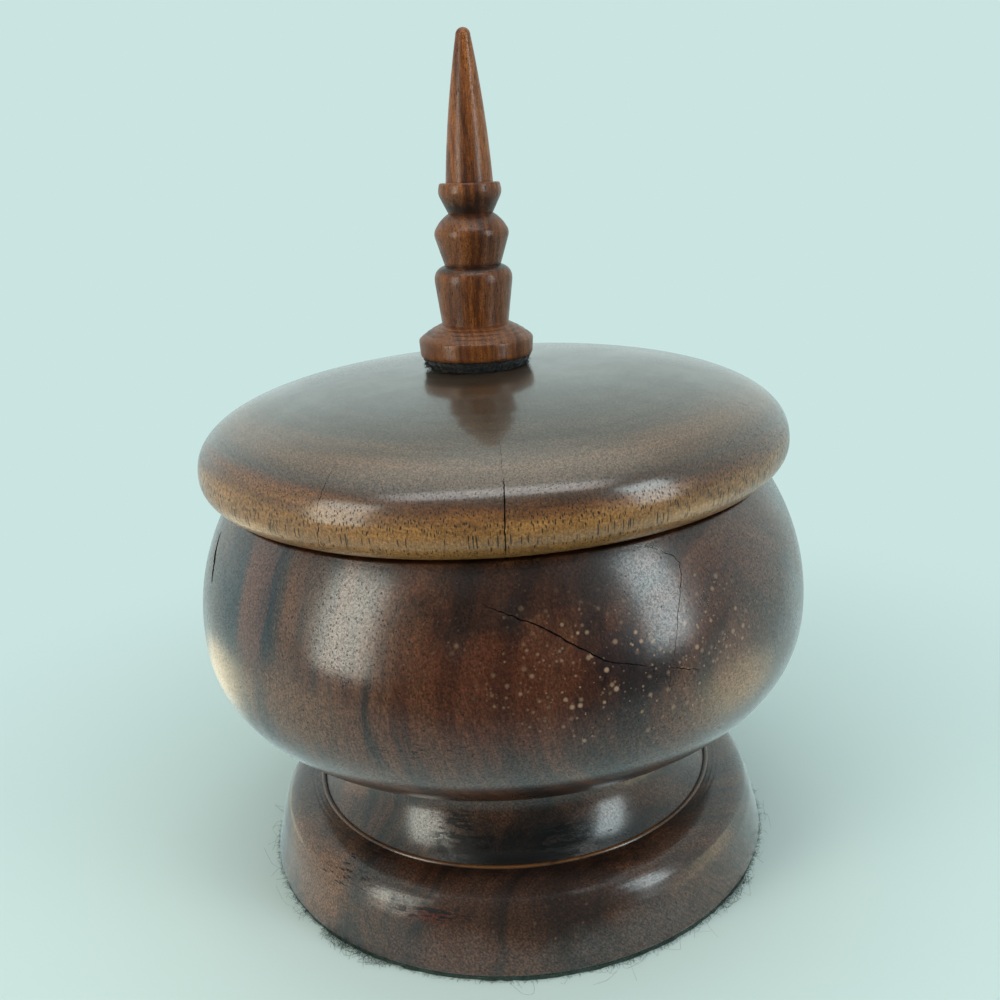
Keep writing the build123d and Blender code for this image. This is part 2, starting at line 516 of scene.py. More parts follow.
def result(tree, kind, inputs, output=0, **settings):
    """One output of a new node."""
    return Value(add_node(tree, kind, inputs, **settings).outputs[output])


def colour(red, green, blue):
    """A colour given as 0 to 255, as a screen shows it."""
    linear = []
    for value in (red, green, blue):
        share = value / 255.0
        linear.append(share / 12.92 if share <= 0.04045 else ((share + 0.055) / 1.055) ** 2.4)
    return (*linear, 1.0)


def calculate(operation, *values):
    return result(tree_of(values), "ShaderNodeMath", dict(enumerate(values)), operation=operation)


def vector_math(operation, *values):
    output = "Value" if operation == "LENGTH" else "Vector"
    return result(tree_of(values), "ShaderNodeVectorMath", dict(enumerate(values)), output, operation=operation)


def combine(*parts):
    return result(tree_of(parts), "ShaderNodeCombineXYZ", dict(enumerate(parts)))


def separate(vector):
    return [Value(part) for part in add_node(vector.tree, "ShaderNodeSeparateXYZ", {0: vector}).outputs]


def from_axis(place):
    """The distance from the turning axis, and the height."""
    x, y, z = separate(place)
    return vector_math("LENGTH", combine(x, y, 0.0)), z


def clouds(vector, scale, detail=3.0, roughness=0.55, output="Fac"):
    inputs = {"Vector": vector, "Scale": scale, "Detail": detail, "Roughness": roughness}
    return result(vector.tree, "ShaderNodeTexNoise", inputs, output)


def cells(vector, scale):
    """The distance to the nearest of scattered points, and three random values of that point's own."""
    found = add_node(vector.tree, "ShaderNodeTexVoronoi", {"Vector": vector, "Scale": scale}).outputs
    return Value(found["Distance"]), separate(Value(found["Color"]))


def ease(value, low, high, start=0.0, stop=1.0, way="SMOOTHSTEP"):
    inputs = {"Value": value, "From Min": low, "From Max": high, "To Min": start, "To Max": stop}
    return result(value.tree, "ShaderNodeMapRange", inputs, "Result", interpolation_type=way)


def mix(factor, first, second, blend="MIX"):
    inputs = {0: factor, 6: first, 7: second}
    return result(tree_of(inputs.values()), "ShaderNodeMix", inputs, 2, data_type="RGBA", blend_type=blend)


def mix_shaders(factor, first, second):
    return result(factor.tree, "ShaderNodeMixShader", {0: factor, 1: first, 2: second})


def ramp(factor, stops):
    """Colours, given as 0 to 255, at places along the factor."""
    node = add_node(factor.tree, "ShaderNodeValToRGB", {0: factor})
    elements = node.color_ramp.elements
    while len(elements) < len(stops):
        elements.new(0.5)
    for element, (place, shade) in zip(elements, stops):
        element.position = place
        element.color = colour(*shade)
    return Value(node.outputs[0])


def given_values(tree):
    return {socket.name: Value(socket) for socket in tree.nodes.new("NodeGroupInput").outputs if socket.name}


def new_group(name, vectors, numbers, outputs):
    """A shader node group of vector inputs, of number inputs with their usual values, and of outputs."""
    tree = bpy.data.node_groups.new(name, "ShaderNodeTree")
    for label in vectors:
        tree.interface.new_socket(name=label, in_out="INPUT", socket_type="NodeSocketVector")
    for label, usual in numbers.items():
        tree.interface.new_socket(name=label, in_out="INPUT", socket_type="NodeSocketFloat").default_value = usual
    for label in outputs:
        tree.interface.new_socket(name=label, in_out="OUTPUT", socket_type="NodeSocketFloat")
    return tree, given_values(tree), tree.nodes.new("NodeGroupOutput").inputs


def place_group(group, **values):
    """A node group's outputs. Input names are written with underscores for spaces."""
    inputs = {name.replace("_", " "): value for name, value in values.items()}
    node = add_node(tree_of(values.values()), "ShaderNodeGroup", inputs, node_tree=group)
    return {socket.name: Value(socket) for socket in node.outputs}


# Shared effects

def make_wood_grain():
    """Wood through and through: X crosses its growth layers and Z runs along its fibres."""
    tree, given, made = new_group("wood_grain", ["Vector"], {
        "Band Width": 0.012, "Waviness": 0.01, "Wave Size": 0.06, "Fibre Size": 0.0004, "Pore Spacing": 0.0011,
        "Pore Length": 0.006, "Pore Width": 0.2, "Pore Share": 0.5, "Seed": 0.0,
    }, ["Bands", "Fibres", "Pores", "Speckle"])
    seed, size, band, fibre = given["Seed"], given["Waviness"], given["Band Width"], given["Fibre Size"]
    moved = vector_math("ADD", given["Vector"], combine(seed, seed, 0.0))
    wave = clouds(moved, 1.0 / given["Wave Size"], 2.0, output="Color")
    shift = vector_math("MULTIPLY", vector_math("SUBTRACT", wave, (0.5, 0.5, 0.5)), combine(size, size, size))
    x, y, z = separate(vector_math("ADD", moved, shift))
    feed(made["Bands"], clouds(combine(x / band, y / (band * 9.0), z / (band * 14.0)), 1.0, 5.0, 0.62))
    x, y, z = separate(moved)
    feed(made["Fibres"], clouds(combine(x / fibre, y / fibre, z / (fibre * 22.0)), 1.0, 2.0))
    spacing, width = given["Pore Spacing"], given["Pore Width"]
    distance, luck = cells(combine(x / spacing, y / spacing, z / given["Pore Length"]), 1.0)
    kept = calculate("LESS_THAN", luck[0], given["Pore Share"])
    feed(made["Pores"], ease(distance, width, width * 0.55) * kept)
    feed(made["Speckle"], clouds(moved, 0.8 / fibre, 3.0, 0.7))
    return tree


def make_ragged_patch():
    """A soft-edged patch round a centre, its size given for each axis and its edge broken up."""
    tree, given, made = new_group(
        "ragged_patch", ["Vector", "Centre", "Size"], {"Raggedness": 0.5, "Grain": 0.006}, ["Mask"],
    )
    away = vector_math("DIVIDE", vector_math("SUBTRACT", given["Vector"], given["Centre"]), given["Size"])
    broken = clouds(given["Vector"], 1.0 / given["Grain"], 4.0, 0.65)
    shift = (broken - 0.5) * given["Raggedness"] * 3.0
    feed(made["Mask"], ease(vector_math("LENGTH", away) + shift, 1.15, 0.35))
    return tree


def make_lathe_lines():
    """Fine rings round the Z axis, left by the turning tool and the sanding."""
    tree, given, made = new_group("lathe_lines", ["Vector"], {"Spacing": 0.0005}, ["Height"])
    radius, z = from_axis(given["Vector"])
    feed(made["Height"], clouds(combine(radius, z, 0.0), 1.0 / given["Spacing"], 3.0, 0.7))
    return tree


def make_dark_dashes():
    """Short level dashes, black with old polish, where the wood's pores were opened by the tool."""
    tree, given, made = new_group(
        "dark_dashes", ["Vector"], {"Length": 0.006, "Height": 0.0007, "Share": 0.4}, ["Mask"],
    )
    x, y, z = separate(given["Vector"])
    found = clouds(combine(x / given["Length"], y / given["Length"], z / given["Height"]), 1.0, 4.0, 0.65)
    limit = 0.72 - given["Share"] * 0.4
    feed(made["Mask"], ease(found, limit, limit + 0.05))
    return tree


def make_age_spots():
    """Small round spots scattered where the finish has clouded, of uneven size and strength."""
    tree, given, made = new_group("age_spots", ["Vector"], {"Spacing": 0.004, "Share": 0.4}, ["Mask"])
    distance, (luck, size, strength) = cells(given["Vector"], 1.0 / given["Spacing"])
    edge = size * 0.32 + 0.1
    kept = calculate("LESS_THAN", luck, given["Share"])
    feed(made["Mask"], ease(distance, edge, edge * 0.25) * kept * (strength + 0.25))
    return tree


wood_grain = make_wood_grain()
ragged_patch = make_ragged_patch()
lathe_lines = make_lathe_lines()
dark_dashes = make_dark_dashes()
age_spots = make_age_spots()


# Materials. Places and sizes of marks are in mm.

def start_material(name):
    """A new material, its Principled shader's inputs and the object's own coordinates."""
    material = bpy.data.materials.new(name)
    material.use_nodes = True
    tree = material.node_tree
    place = result(tree, "ShaderNodeTexCoord", {}, "Object")
    return material, tree.nodes["Principled BSDF"].inputs, place


def grain_place(place, fibre, layer):
    """Coordinates turned so that Z runs along the fibres and X crosses the growth layers."""
    along = Vector(fibre).normalized()
    across = Vector(layer)
    across = (across - along * across.dot(along)).normalized()
    turned = Matrix((across, along.cross(across), along))
    return result(place.tree, "ShaderNodeMapping", {"Rotation": turned.to_euler(), "Vector": place})


def patch(place, centre, size, raggedness, grain=6.0):
    centre, size = [[value * mm for value in values] for values in (centre, size)]
    return place_group(
        ragged_patch, Vector=place, Centre=centre, Size=size, Raggedness=raggedness, Grain=grain * mm,
    )["Mask"]


def painted(place, shade, patches):
    """The colour with patches over it, each of (centre, size, raggedness, grain, strength, colour)."""
    for centre, size, raggedness, grain, strength, tint in patches:
        shade = mix(patch(place, centre, size, raggedness, grain) * strength, shade, colour(*tint))
    return shade


def dashes(place, area, length, height, share):
    """Dark dashes kept to an area, given as for a patch."""
    found = place_group(dark_dashes, Vector=place, Length=length * mm, Height=height * mm, Share=share)
    return found["Mask"] * patch(place, *area)


def spots(place, spacing, share):
    return place_group(age_spots, Vector=place, Spacing=spacing * mm, Share=share)["Mask"]


def scaled(shade, level):
    return mix(1.0, shade, combine(level, level, level), "MULTIPLY")


def figured(grain, shade, fibre_contrast, speckle_contrast):
    """The colour with the fibres' fine streaks and specks over it."""
    for part, contrast in (("Fibres", fibre_contrast), ("Speckle", speckle_contrast)):
        shade = scaled(shade, ease(grain[part], 0.34, 0.66, 1.0 - contrast, 1.0 + contrast))
    return shade


def mottled(place, scale, low, high):
    """A roughness that varies in clouds from low to high."""
    return ease(clouds(place, scale, 4.0), 0.3, 0.7, low, high)


def relief(shader, height, distance):
    inputs = {"Strength": 1.0, "Distance": distance, "Height": height}
    feed(shader["Normal"], result(height.tree, "ShaderNodeBump", inputs))


def lacquer(shader, grain, pores, weight, roughness, gloss_below, worn=0.0, thinnest=0.6):
    """A clear coat, thin over the specks, missing over the open pores and where a mask says that it is worn."""
    thin = ease(grain["Speckle"], 0.36, 0.62, thinnest, 1.0)
    feed(shader["Coat Weight"], thin * (1.0 - pores * 0.9) * (1.0 - worn) * weight)
    feed(shader["Coat Roughness"], roughness)
    feed(shader["Coat IOR"], 1.58)
    feed(shader["Specular IOR Level"], gloss_below)


def wood_relief(shader, grain, pores, place, pore_depth, specks, line_spacing=0.5 * mm):
    """Pores sunk below the finish, raised fibres and specks, and the lathe's fine rings."""
    rings = place_group(lathe_lines, Vector=place, Spacing=line_spacing)["Height"]
    ripple = clouds(place, 140.0, 2.0)
    fine = grain["Speckle"] * specks
    relief(shader, pores * -1.0 + fine + grain["Fibres"] * 0.12 + rings * 0.12 + ripple * 0.7, pore_depth)


def bowl_wood():
    """Dark rosewood: upright stripes on the left, a red heart, and clouded spots on the right."""
    material, shader, place = start_material("bowl_wood")
    turned = grain_place(place, (-0.16, -0.16, 1.0), (0.743, -0.669, 0.0))
    shiny = patch(place, (-38, -66, 91), (24, 18, 18), 1.0, 7.0)
    grain = place_group(
        wood_grain, Vector=turned, Band_Width=0.006, Waviness=0.010, Wave_Size=0.04, Pore_Spacing=0.0007,
        Pore_Length=0.0011, Pore_Width=0.34, Pore_Share=shiny * 0.6 + 0.05, Seed=0.31,
    )
    shade = ramp(grain["Bands"], [
        (0.30, (34, 20, 15)), (0.43, (54, 30, 21)), (0.52, (74, 40, 25)), (0.60, (84, 50, 32)), (0.70, (42, 25, 19)),
    ])
    fray = (grain["Bands"] - 0.5) * 0.012 + (grain["Fibres"] - 0.5) * 0.007
    stripes = ramp(ease(separate(turned)[0] + fray, -24 * mm, 18 * mm, way="LINEAR"), [
        (0.00, (24, 29, 33)), (0.27, (18, 24, 29)), (0.33, (88, 50, 36)), (0.49, (80, 46, 36)), (0.55, (10, 18, 28)),
        (0.62, (16, 22, 29)), (0.67, (52, 39, 32)), (0.75, (92, 58, 38)), (0.81, (76, 50, 36)), (0.84, (10, 11, 13)),
        (0.87, (62, 46, 34)), (1.00, (58, 44, 34)),
    ])
    shade = mix(patch(place, (-58, -52, 94), (28, 25, 24), 0.3, 10.0), shade, stripes)
    shade = painted(place, shade, [
        ((-45, -64, 70), (16, 15, 11), 0.5, 12.0, 0.75, (100, 66, 42)),  # pale swirl
        ((2, -80, 78), (28, 22, 16), 0.6, 14.0, 0.45, (78, 36, 18)),  # red heart
        ((26, -73, 80), (12, 14, 14), 0.8, 7.0, 0.7, (16, 14, 20)),  # inky streak
        ((2, -73, 99), (44, 18, 9), 0.9, 8.0, 0.6, (22, 14, 11)),  # painted shade below the rim, under the lid's edge
    ])
    shade = figured(grain, shade, 0.28, 0.4)
    small_spots = spots(place, 1.0, 0.5)
    both_spots = calculate("MAXIMUM", spots(place, 2.1, 1.0), small_spots * 0.8)
    clouded = both_spots * patch(place, (28, -70, 79), (44, 30, 20), 0.5, 12.0)
    shade = mix(clouded * 0.95, shade, colour(150, 118, 94))
    dusty = small_spots * patch(place, (-6, -78, 78), (36, 24, 18), 0.6, 9.0)
    shade = mix(dusty * 0.35, shade, colour(110, 84, 68))
    smear = dashes(place, ((-16, -76, 66.5), (14, 16, 3.0), 0.9, 5.0), 3.0, 0.7, 0.4)
    pits = calculate("MAXIMUM", grain["Pores"] * 0.85, smear * 0.6)
    feed(shader["Base Color"], mix(pits, shade, colour(12, 9, 9)))
    feed(shader["Roughness"], mottled(place, 60.0, 0.24, 0.42) + clouded * 0.25)
    wood_relief(shader, grain, pits, place, 0.05 * mm, 0.9)
    lacquer(shader, grain, pits, 1.0, 0.19, 0.3, thinnest=0.4)
    return material


def near_ring(place, radius, height, reach, inner):
    """A soft mask round a ring of this radius and height."""
    here, z = from_axis(place)
    return ease(vector_math("LENGTH", combine(here - radius, z - height, 0.0)), reach, inner)


def foot_wood():
    """The foot's wood: brown swirls, orange at the left, and painted shade, near black, in the cove."""
    material, shader, place = start_material("foot_wood")
    grain = place_group(
        wood_grain, Vector=grain_place(place, (-0.55, -0.35, 0.75), (0.5, -0.8, 0.1)), Band_Width=0.006,
        Waviness=0.022, Wave_Size=0.035, Pore_Spacing=0.0008, Pore_Length=0.0016, Pore_Width=0.3, Pore_Share=0.08,
        Seed=1.7,
    )
    shade = ramp(grain["Bands"], [
        (0.30, (18, 13, 12)), (0.44, (40, 25, 18)), (0.54, (66, 40, 27)), (0.62, (78, 50, 35)), (0.72, (30, 21, 18)),
    ])
    shade = painted(place, shade, [
        ((-52, -40, 13), (22, 26, 12), 0.6, 12.0, 0.75, (116, 76, 48)),  # orange side
        ((-43, -22, 27), (7, 9, 5), 0.6, 5.0, 0.7, (112, 66, 40)),  # ember in the cove
        ((-38, -52, 17), (14, 9, 6), 0.7, 8.0, 0.7, (42, 40, 40)),  # ash on the flare
        ((6, -49, 23), (34, 14, 6), 0.5, 9.0, 0.85, (12, 12, 15)),  # painted shade, near black, in the cove under the bowl
        ((-22, -61, 14), (9, 8, 2.4), 0.8, 4.0, 0.7, (80, 26, 17)),  # red patch
        ((-18, -66, 6), (20, 12, 6), 0.5, 7.0, 0.5, (78, 48, 38)),  # warm band
        ((4, -63, 16), (32, 14, 8), 0.5, 9.0, 0.55, (34, 19, 12)),  # brown flare
        ((24, -62, 6), (30, 16, 6), 0.4, 12.0, 0.6, (66, 52, 48)),  # mauve band
    ])
    shade = figured(grain, shade, 0.35, 0.5)
    specks = spots(place, 1.6, 0.35) * patch(place, (8, -64, 9), (44, 22, 9), 0.6, 9.0)
    shade = mix(specks * 0.5, shade, colour(118, 88, 72))
    # The raised lip's crest is worn pale and also carries a painted highlight, and a painted shadow, near black, lies
    # in the corner below it.
    # Pale crest: partly wear, partly a painted highlight.
    worn = near_ring(place, ledge_radius - lip_width / 2, ledge_z + lip_crest, 0.9 * mm, 0.3 * mm)
    worn = worn * (patch(place, (4, -54, 21), (38, 24, 9), 0.6, 7.0) * 0.6 + 0.3)
    shade = mix(worn, shade, colour(126, 80, 42))
    # Painted shadow: near black in the corner below the lip's crest.
    corner = near_ring(place, ledge_radius - 2.4 * mm, ledge_z + 1.0 * mm, 2.2 * mm, 0.3 * mm)
    shade = mix(corner * patch(place, (6, -52, 21), (34, 20, 9), 0.5, 9.0), shade, colour(12, 9, 9))
    pits = grain["Pores"] * 0.7
    for area, length, height, share in (
        (((-15, -46, 26), (9, 12, 6), 0.6, 5.0), 4.0, 0.8, 0.6),  # cove, left
        (((10, -48, 24), (10, 12, 4), 0.6, 5.0), 4.0, 0.8, 0.65),  # cove, right
        (((-42, -46, 17), (12, 12, 4), 0.8, 6.0), 3.5, 0.5, 0.4),  # flare, left
        (((-22, -61, 14.5), (11, 8, 2.6), 0.8, 4.0), 3.5, 0.5, 0.6),  # flare, middle
    ):
        pits = calculate("MAXIMUM", pits, dashes(place, area, length, height, share))
    feed(shader["Base Color"], mix(pits, shade, colour(12, 10, 11)))
    dull = patch(place, (-1, -64, 16), (38, 18, 11), 0.35, 8.0)
    feed(shader["Roughness"], mottled(place, 60.0, 0.26, 0.44) + dull * 0.3)
    wood_relief(shader, grain, pits, place, 0.05 * mm, 0.7)
    lacquer(shader, grain, pits, 1.0, 0.18, 0.25, dull * 0.95, 0.5)
    return material


def lid_wood():
    """Walnut with gold sapwood round the front edge, dark and orange growth rings behind it, and a high gloss."""
    material, shader, place = start_material("lid_wood")
    depth, across, along = separate(grain_place(place, (0.0, -0.6, 0.8), (0.0, 0.8, 0.6)))
    ring = vector_math("LENGTH", combine(depth - 0.090, across + 0.002, 0.0))
    grain = place_group(
        wood_grain, Vector=combine(ring, across, along), Band_Width=0.004, Waviness=0.007, Wave_Size=0.04, Seed=2.9,
    )
    pores = place_group(
        wood_grain, Vector=grain_place(place, (0.0, -0.3, 0.95), (0.0, 0.95, 0.3)), Pore_Spacing=0.00052,
        Pore_Length=0.014, Pore_Width=0.36, Pore_Share=1.0, Seed=1.3,
    )["Pores"]
    layer = ring + (grain["Bands"] - 0.5) * 0.007
    shade = ramp(ease(layer, 0.050, 0.086, way="LINEAR"), [
        (0.00, (64, 51, 39)), (0.22, (70, 55, 41)), (0.33, (78, 61, 46)), (0.44, (88, 65, 46)), (0.56, (102, 73, 50)),
        (0.65, (92, 67, 47)), (0.72, (74, 57, 46)), (0.76, (74, 54, 41)), (0.81, (90, 57, 36)), (0.86, (110, 72, 41)),
        (0.90, (136, 94, 50)), (1.00, (132, 91, 48)),
    ])
    shade = scaled(shade, ease(grain["Bands"], 0.32, 0.68, 0.8, 1.2))
    shade = figured(grain, shade, 0.2, 0.35)
    pits = pores * ease(layer, 0.066, 0.081, 0.3, 0.95)
    feed(shader["Base Color"], mix(pits, shade, colour(38, 26, 16)))
    feed(shader["Roughness"], mottled(place, 50.0, 0.3, 0.44))
    wood_relief(shader, grain, pits, place, 0.04 * mm, 0.5)
    lacquer(shader, grain, pits, 1.0, 0.14, 0.35, ease(layer, 0.077, 0.082) * 0.45, 0.7)
    return material


def finial_wood():
    """Red-brown wood with upright grain, coarse dark pores, and a darker, uneven colour at the two grooves."""
    material, shader, place = start_material("finial_wood")
    grain = place_group(
        wood_grain, Vector=grain_place(place, (0.03, 0.0, 1.0), (1.0, 0.25, 0.0)), Band_Width=0.0035, Waviness=0.003,
        Wave_Size=0.03, Fibre_Size=0.0003, Pore_Spacing=0.00045, Pore_Length=0.003, Pore_Width=0.34, Pore_Share=0.35,
        Seed=4.2,
    )
    shade = ramp(grain["Bands"], [
        (0.34, (54, 25, 10)), (0.47, (92, 48, 18)), (0.57, (118, 68, 31)), (0.68, (68, 34, 14)),
    ])
    height = separate(place)[2]
    shade = scaled(shade, ease(height, lid_top_z + 40 * mm, lid_top_z + 48 * mm, 1.0, 1.45))
    shade = figured(grain, shade, 0.25, 0.3)
    shade = mix(grain["Pores"] * 0.8, shade, colour(34, 17, 10))
    # Darker, in uneven clouds, near the waist groove and under the collar.
    groove_darkening = 0.0
    for groove_z, reach in ((24.9, 1.5), (38.9, 3.8)):
        away = calculate("ABSOLUTE", height - (lid_top_z + groove_z * mm))
        groove_darkening = calculate("MAXIMUM", groove_darkening, ease(away, reach * mm, 0.2 * mm))
    blotchy = ease(clouds(place, 300.0), 0.35, 0.6, 0.4, 0.9)
    feed(shader["Base Color"], mix(groove_darkening * blotchy, shade, colour(24, 13, 10)))
    feed(shader["Roughness"], mottled(place, 200.0, 0.32, 0.55))
    wood_relief(shader, grain, grain["Pores"], place, 0.05 * mm, 0.6, 0.4 * mm)
    lacquer(shader, grain, grain["Pores"], 0.4, 0.26, 0.2)
    return material


def two_toned(name, scale, detail, roughness, dark, light, lowest_gloss):
    """A matt material of two colours in fine clouds, with its shader and its pattern."""
    material, shader, place = start_material(name)
    pattern = clouds(place, scale, detail, roughness)
    feed(shader["Base Color"], mix(ease(pattern, 0.3, 0.7), colour(*dark), colour(*light)))
    feed(shader["Roughness"], ease(pattern, 0.3, 0.7, lowest_gloss, 1.0))
    return material, shader, pattern


def bare_wood(name, dark, light):
    """Bare wood without a finish, as inside a crack, or along a lifted splinter, where its near-white colour is a
    painted glint.
    """
    return two_toned(name, 900.0, 4.0, 0.55, dark, light, 0.8)[0]


def felt(name, dark, light):
    """Pressed wool felt, with a soft sheen over short matted fibres."""
    material, shader, matted = two_toned(name, 1800.0, 6.0, 0.7, dark, light, 0.85)
    relief(shader, matted, 0.3 * mm)
    feed(shader["Sheen Weight"], 0.3)
    feed(shader["Specular IOR Level"], 0.15)
    return material


materials = {
    "bowl": bowl_wood(),
    "foot": foot_wood(),
    "lid": lid_wood(),
    "finial": finial_wood(),
    "crack": bare_wood("crack_wood", (10, 7, 6), (34, 22, 16)),
    # The splinter's near-white colour is a painted glint.
    "splinter": bare_wood("splinter_painted_glint", (96, 94, 90), (222, 230, 228)),
    "baize": felt("green_baize", (14, 30, 26), (44, 70, 60)),
    "washer": felt("washer_felt", (3, 4, 4), (18, 20, 19)),
}


# Felt fibres, made by one node tree

def scatter_value(low, high, seed):
    inputs = {2: low, 3: high, "Seed": seed}
    return result(seed.tree, "FunctionNodeRandomValue", inputs, 1, data_type="FLOAT")


def make_fibre_tree():
    """Loose fibres round the edge of a felt disc, that lie outwards and curl."""
    tree = bpy.data.node_groups.new("felt_fibres", "GeometryNodeTree")
    usual = {
        "Count": 900, "Seed": 1, "Ring Radius": 0.068, "Start Angle": 0.0, "End Angle": 6.2832, "Low": 0.0001,
        "High": 0.0014, "Length": 0.0022, "Thickness": 0.00003, "Curl": 0.5, "Floor": 0.0,
    }
    for label, value in usual.items():
        kind = "NodeSocketInt" if isinstance(value, int) else "NodeSocketFloat"
        tree.interface.new_socket(name=label, in_out="INPUT", socket_type=kind).default_value = value
    tree.interface.new_socket(name="Material", in_out="INPUT", socket_type="NodeSocketMaterial")
    tree.interface.new_socket(name="Geometry", in_out="OUTPUT", socket_type="NodeSocketGeometry")
    given = given_values(tree)
    seed, curl, length = given["Seed"], given["Curl"], given["Length"]
    angle = scatter_value(given["Start Angle"], given["End Angle"], seed)
    radius = given["Ring Radius"] + scatter_value(-0.0004, 0.0001, seed + 11)
    height = scatter_value(given["Low"], given["High"], seed + 12)
    position = combine(radius * calculate("COSINE", angle), radius * calculate("SINE", angle), height)
    points = result(tree, "GeometryNodePoints", {"Count": given["Count"], "Position": position})
    line = result(tree, "GeometryNodeCurveQuadraticBezier", {
        "Resolution": 6, "Start": (0.0, 0.0, 0.0), "Middle": combine(0.55, curl, 0.1),
        "End": combine(1.0, curl * -0.5, 0.0),
    })
    thin = result(tree, "GeometryNodeCurvePrimitiveCircle", {"Resolution": 3, "Radius": given["Thickness"] / length})
    strand = result(tree, "GeometryNodeCurveToMesh", {"Curve": line, "Profile Curve": thin, "Fill Caps": True})
    roll = scatter_value(-3.14, 3.14, seed + 13)
    lift = scatter_value(-0.5, 0.35, seed + 14)
    swing = scatter_value(-1.2, 1.2, seed + 15)
    long = length * scatter_value(0.35, 1.3, seed + 16)
    placed = result(tree, "GeometryNodeInstanceOnPoints", {
        "Points": points, "Instance": strand, "Rotation": combine(roll, lift, angle + swing),
        "Scale": combine(long, long, long),
    })
    real = result(tree, "GeometryNodeRealizeInstances", {0: placed})
    x, y, z = separate(result(tree, "GeometryNodeInputPosition", {}))
    above_floor = combine(x, y, calculate("MAXIMUM", z, given["Floor"]))
    rest = result(tree, "GeometryNodeSetPosition", {0: real, "Position": above_floor})
    cover = result(tree, "GeometryNodeSetMaterial", {0: rest, "Material": given["Material"]})
    feed(tree.nodes.new("NodeGroupOutput").inputs[0], cover)
    return tree


fibre_tree = make_fibre_tree()


def fibres(name, material, place=None, **sizes):
    """A plain mesh of loose fibres. Size names are written with underscores for spaces."""
    holder = new_object(name, bpy.data.meshes.new(name))
    modifier = holder.modifiers.new("fibres", "NODES")
    modifier.node_group = fibre_tree
    sockets = {
        item.name: item.identifier for item in fibre_tree.interface.items_tree if item.in_out == "INPUT"
    }
    for label, value in sizes.items():
        modifier[sockets[label.replace("_", " ")]] = value
    modifier[sockets["Material"]] = material
    graph = bpy.context.evaluated_depsgraph_get()
    mesh = bpy.data.meshes.new_from_object(holder.evaluated_get(graph))
    bpy.data.objects.remove(holder)
    if place is not None:
        mesh.transform(place)
    return new_object(name, mesh)


def joined(name, parts):
    """One mesh object from several, at the origin."""
    shape = bmesh.new()
    for part in parts:
        shape.from_mesh(part.data)
    whole = from_shape(name, shape)
    whole.data.materials.append(parts[0].data.materials[0])
    for part in parts:
        bpy.data.objects.remove(part)
    return whole


def finished(piece, body, node):
    """Puts a piece on its body, in place of its CAD node."""
    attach(piece, body)
    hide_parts(node)
    return piece


# Pieces

def paint(piece, name):
    piece.data.materials.append(materials[name])
    return piece


def crack_all(piece, outline, cracks, *others):
    """Cuts the cracks, each of (name, width, depth, wander, seed, stations), and any other cutters out of it."""
    cutters = [crack_cutter(name, outline, *sizes) for name, *sizes in cracks]
    return cut(piece, [paint(cutter, "crack") for cutter in cutters + list(others)])


def disc_outline(low_radius, high_radius, low_z, high_z, edge):
    low, high = (low_radius, low_z), (high_radius, high_z)
    return (
        [(0.0, low_z)] + softened((0.0, low_z), low, high, edge)
        + softened(low, high, (0.0, high_z), edge) + [(0.0, high_z)]
    )


def make_foot():
    piece = paint(turn("turned_foot", foot_outline()), "foot")
    return finished(smooth(piece), "base", "foot")


def make_bowl():
    outline = bowl_outline()
    piece = paint(turn("globe_bowl", outline), "bowl")
    crack_all(piece, outline, [
        ("crack_curved", 0.55, 1.4, 0.45, 3.0, [
            (-3.8, 97.1), (0.0, 94.9), (4.8, 92.3), (9.7, 88.2), (14.7, 83.7), (18.9, 81.8), (23.0, 80.0),
        ]),
        ("crack_curved_end", 0.36, 0.9, 0.3, 4.0, [(25.0, 79.2), (27.5, 78.0), (30.8, 76.4)]),
        ("crack_right", 0.30, 1.0, 0.35, 7.0, [
            (25.2, 103.2), (27.4, 102.1), (30.7, 99.5), (30.6, 96.2), (28.6, 90.9), (26.8, 84.4), (25.6, 79.0),
        ]),
        ("crack_right_end", 0.2, 0.7, 0.3, 8.0, [(25.2, 77.6), (24.8, 75.6), (24.5, 73.2)]),
        ("crack_left", 2.0, 2.6, 0.4, 12.0, [(-71.5, 99.5), (-69.6, 95.6), (-67.6, 92.8), (-66.0, 89.0)]),
    ])
    rim = rim_z / mm
    # A raised splinter along the right crack, painted near white as a glint.
    splinter = [(23.6, rim - 0.6), (24.5, rim - 0.8), (25.4, rim - 1.1), (26.5, 102.9), (27.6, 102.2), (29.0, 101.0)]
    raised = crack_cutter("splinter", outline, 0.7, 0.35, 0.6, 15.0, splinter, facing=-1.0)
    add_to(piece, paint(raised, "splinter"))
    return finished(smooth(piece), "base", "bowl")


def make_lid():
    outline = lid_outline()
    piece = paint(turn("domed_lid", outline), "lid")
    crack_all(piece, outline, [
        ("lid_nick", 0.30, 0.4, 0.0, 6.0, [(61.2, 124.9), (61.9, 124.4), (62.4, 123.7)]),
        ("crack_main", 0.42, 2.0, 0.25, 1.0, [(1.2, 122.0), (1.2, 120.1), (1.0, 115.8), (0.8, 110.8), (0.8, 106.1)]),
        ("crack_main_end", 0.12, 0.5, 0.1, 2.0, [(1.2, 127.0), (1.3, 124.8), (1.1, 123.2), (1.2, 122.2)]),
        ("crack_second", 0.22, 1.0, 0.3, 9.0, [
            (-29.2, 124.0), (-29.0, 120.8), (-29.3, 116.8), (-29.2, 112.3), (-30.2, 107.6), (-29.0, 106.6),
        ]),
    ], leaning_drill())
    return finished(smooth(piece), "lid_assembly", "lid")


def make_finial():
    piece = paint(turn("spire_finial", finial_outline(), 0.8 * mm), "finial")
    piece.data.transform(finial_place)
    return finished(smooth(piece, 30), "lid_assembly", "finial")


